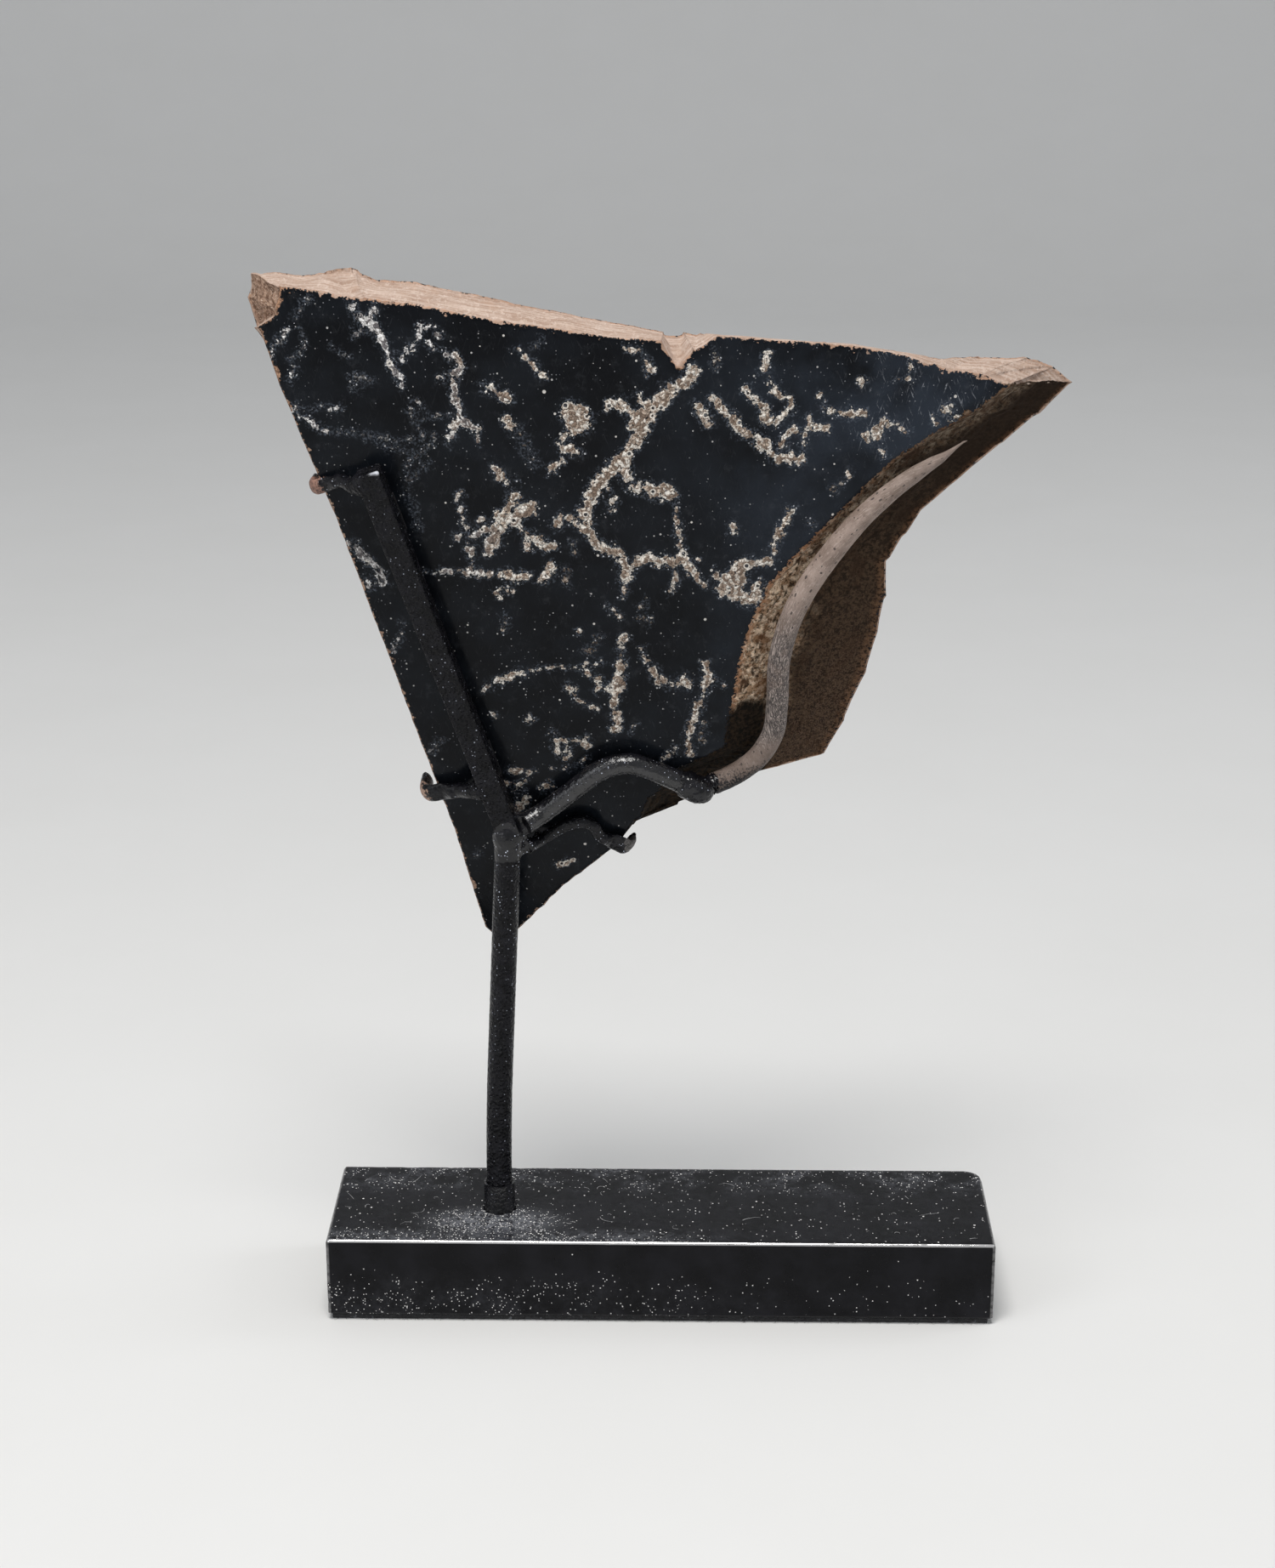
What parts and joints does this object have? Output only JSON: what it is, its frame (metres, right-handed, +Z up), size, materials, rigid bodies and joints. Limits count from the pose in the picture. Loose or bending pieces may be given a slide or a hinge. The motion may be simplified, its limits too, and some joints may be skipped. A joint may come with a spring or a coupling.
{
  "type": "mounted pottery fragment",
  "caption": "Broken fragment of a black-gloss drinking cup's bowl, held by a bent metal mount with claws, on a flat bar base.",
  "frame": {"origin": "centre of the felt's underside, where the stand rests", "axes": "+Z up, +X along the base bar to the right, -Y towards the viewer and the sherd's glazed outer face"},
  "size_m": [0.1166, 0.0308, 0.1594],
  "materials": {
    "base_paint": "black gloss paint",
    "mount_paint": "black satin paint, slightly pebbly",
    "clay_paint": "matt clay-coloured paint",
    "black_gloss": "black gloss slip over fired clay",
    "felt": "black wool felt"
  },
  "bodies": {
    "stand_base": {"base_block": "base_paint", "base_felt": "felt", "post_ferrule": "mount_paint"},
    "armature": {"post": "mount_paint", "junction_braze": "mount_paint", "spine_bar": "mount_paint", "spine_pad_lower": "felt", "spine_pad_upper": "felt", "upper_left_claw": "mount_paint", "upper_claw_braze": "mount_paint", "lower_left_claw": "mount_paint", "lower_claw_braze": "mount_paint", "lower_right_claw": "mount_paint", "support_arm": "mount_paint", "arm_braze": "mount_paint", "fracture_finger": "clay_paint"},
    "sherd": {"sherd": "black_gloss"}
  },
  "joints": [
    {"name": "post_swivel", "type": "hinge", "parent": "stand_base", "child": "armature", "pos_m": [-0.025, -0.0013, 0.0137], "axis": [0, 0, 1], "continuous": true},
    {"name": "sherd_lift", "type": "slide", "parent": "armature", "child": "sherd", "axis": [0, -0.1305, 0.9914], "range_m": [0, 0.095]}
  ]
}
